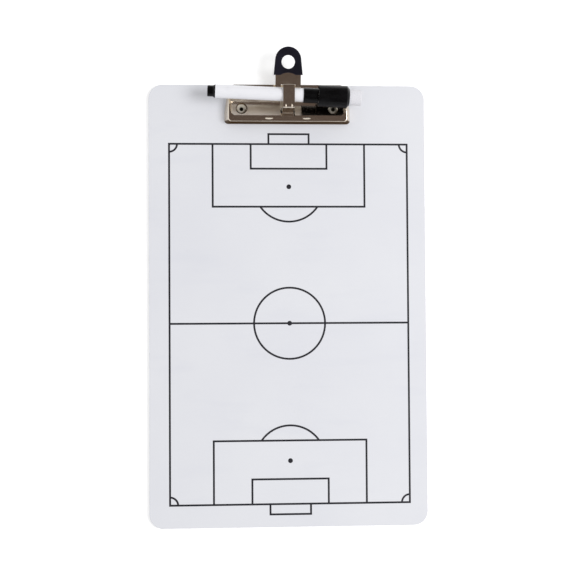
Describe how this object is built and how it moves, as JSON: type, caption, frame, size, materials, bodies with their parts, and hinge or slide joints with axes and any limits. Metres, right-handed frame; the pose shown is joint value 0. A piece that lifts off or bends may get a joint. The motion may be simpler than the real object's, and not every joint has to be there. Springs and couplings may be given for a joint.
{
  "type": "clipboard tactics board",
  "caption": "White clipboard printed with a football pitch, with a sprung metal lever clip whose strap holds a capped marker; the clip opens, the marker slides out, the cap pulls off.",
  "frame": {"origin": "middle of the board's flat back face", "axes": "+X to the right across the board, +Y along the board towards the clip, +Z out of the printed face; the board lies on its back"},
  "size_m": [0.22, 0.3775, 0.0293],
  "materials": {
    "core_plastic": "plain white sheet, seen at the edge",
    "white_film": "smooth satin dry-erase film",
    "print_ink": "flat black print",
    "plated_steel": "bright nickel plate on pressed sheet steel",
    "rivet_steel": "plated, slightly dull",
    "spring_steel": "bare drawn wire",
    "tip_plastic": "soft black moulding",
    "barrel_plastic": "smooth white",
    "black_plastic": "smooth black",
    "seal_plastic": "natural soft plastic",
    "wick_fibre": "ink-soaked fibre",
    "nib_felt": "dense black felt",
    "eraser_felt": "white pressed felt"
  },
  "bodies": {
    "board": {"board_core": "core_plastic", "front_film": "white_film", "rear_film": "white_film", "pitch_markings": "print_ink", "clip_base_plate": "plated_steel", "rivet_left": "rivet_steel", "rivet_right": "rivet_steel", "pivot_pin": "rivet_steel", "torsion_spring": "spring_steel"},
    "jaw": {"clip_jaw": "plated_steel", "pen_loop": "plated_steel", "lever_tip": "tip_plastic"},
    "marker": {"marker_barrel": "barrel_plastic", "marker_tail_plug": "black_plastic", "marker_ink_reservoir": "wick_fibre", "marker_grip": "black_plastic", "marker_nib": "nib_felt"},
    "cap": {"marker_cap": "black_plastic", "cap_seal": "seal_plastic", "marker_eraser": "eraser_felt"}
  },
  "joints": [
    {"name": "jaw_hinge", "type": "hinge", "parent": "board", "child": "jaw", "pos_m": [0, 0.1545, 0.0059], "axis": [-1, 0, 0], "range_deg": [0, 16], "stiffness_Nm_per_rad": 0.15, "springref_deg": -28.65, "deforming": ["torsion_spring"]},
    {"name": "marker_slide", "type": "slide", "parent": "jaw", "child": "marker", "axis": [0.9992, -0.0401, 0], "range_m": [0, 0.075]},
    {"name": "cap_pull", "type": "slide", "parent": "marker", "child": "cap", "axis": [0.9992, -0.0401, 0], "range_m": [0, 0.022]}
  ]
}
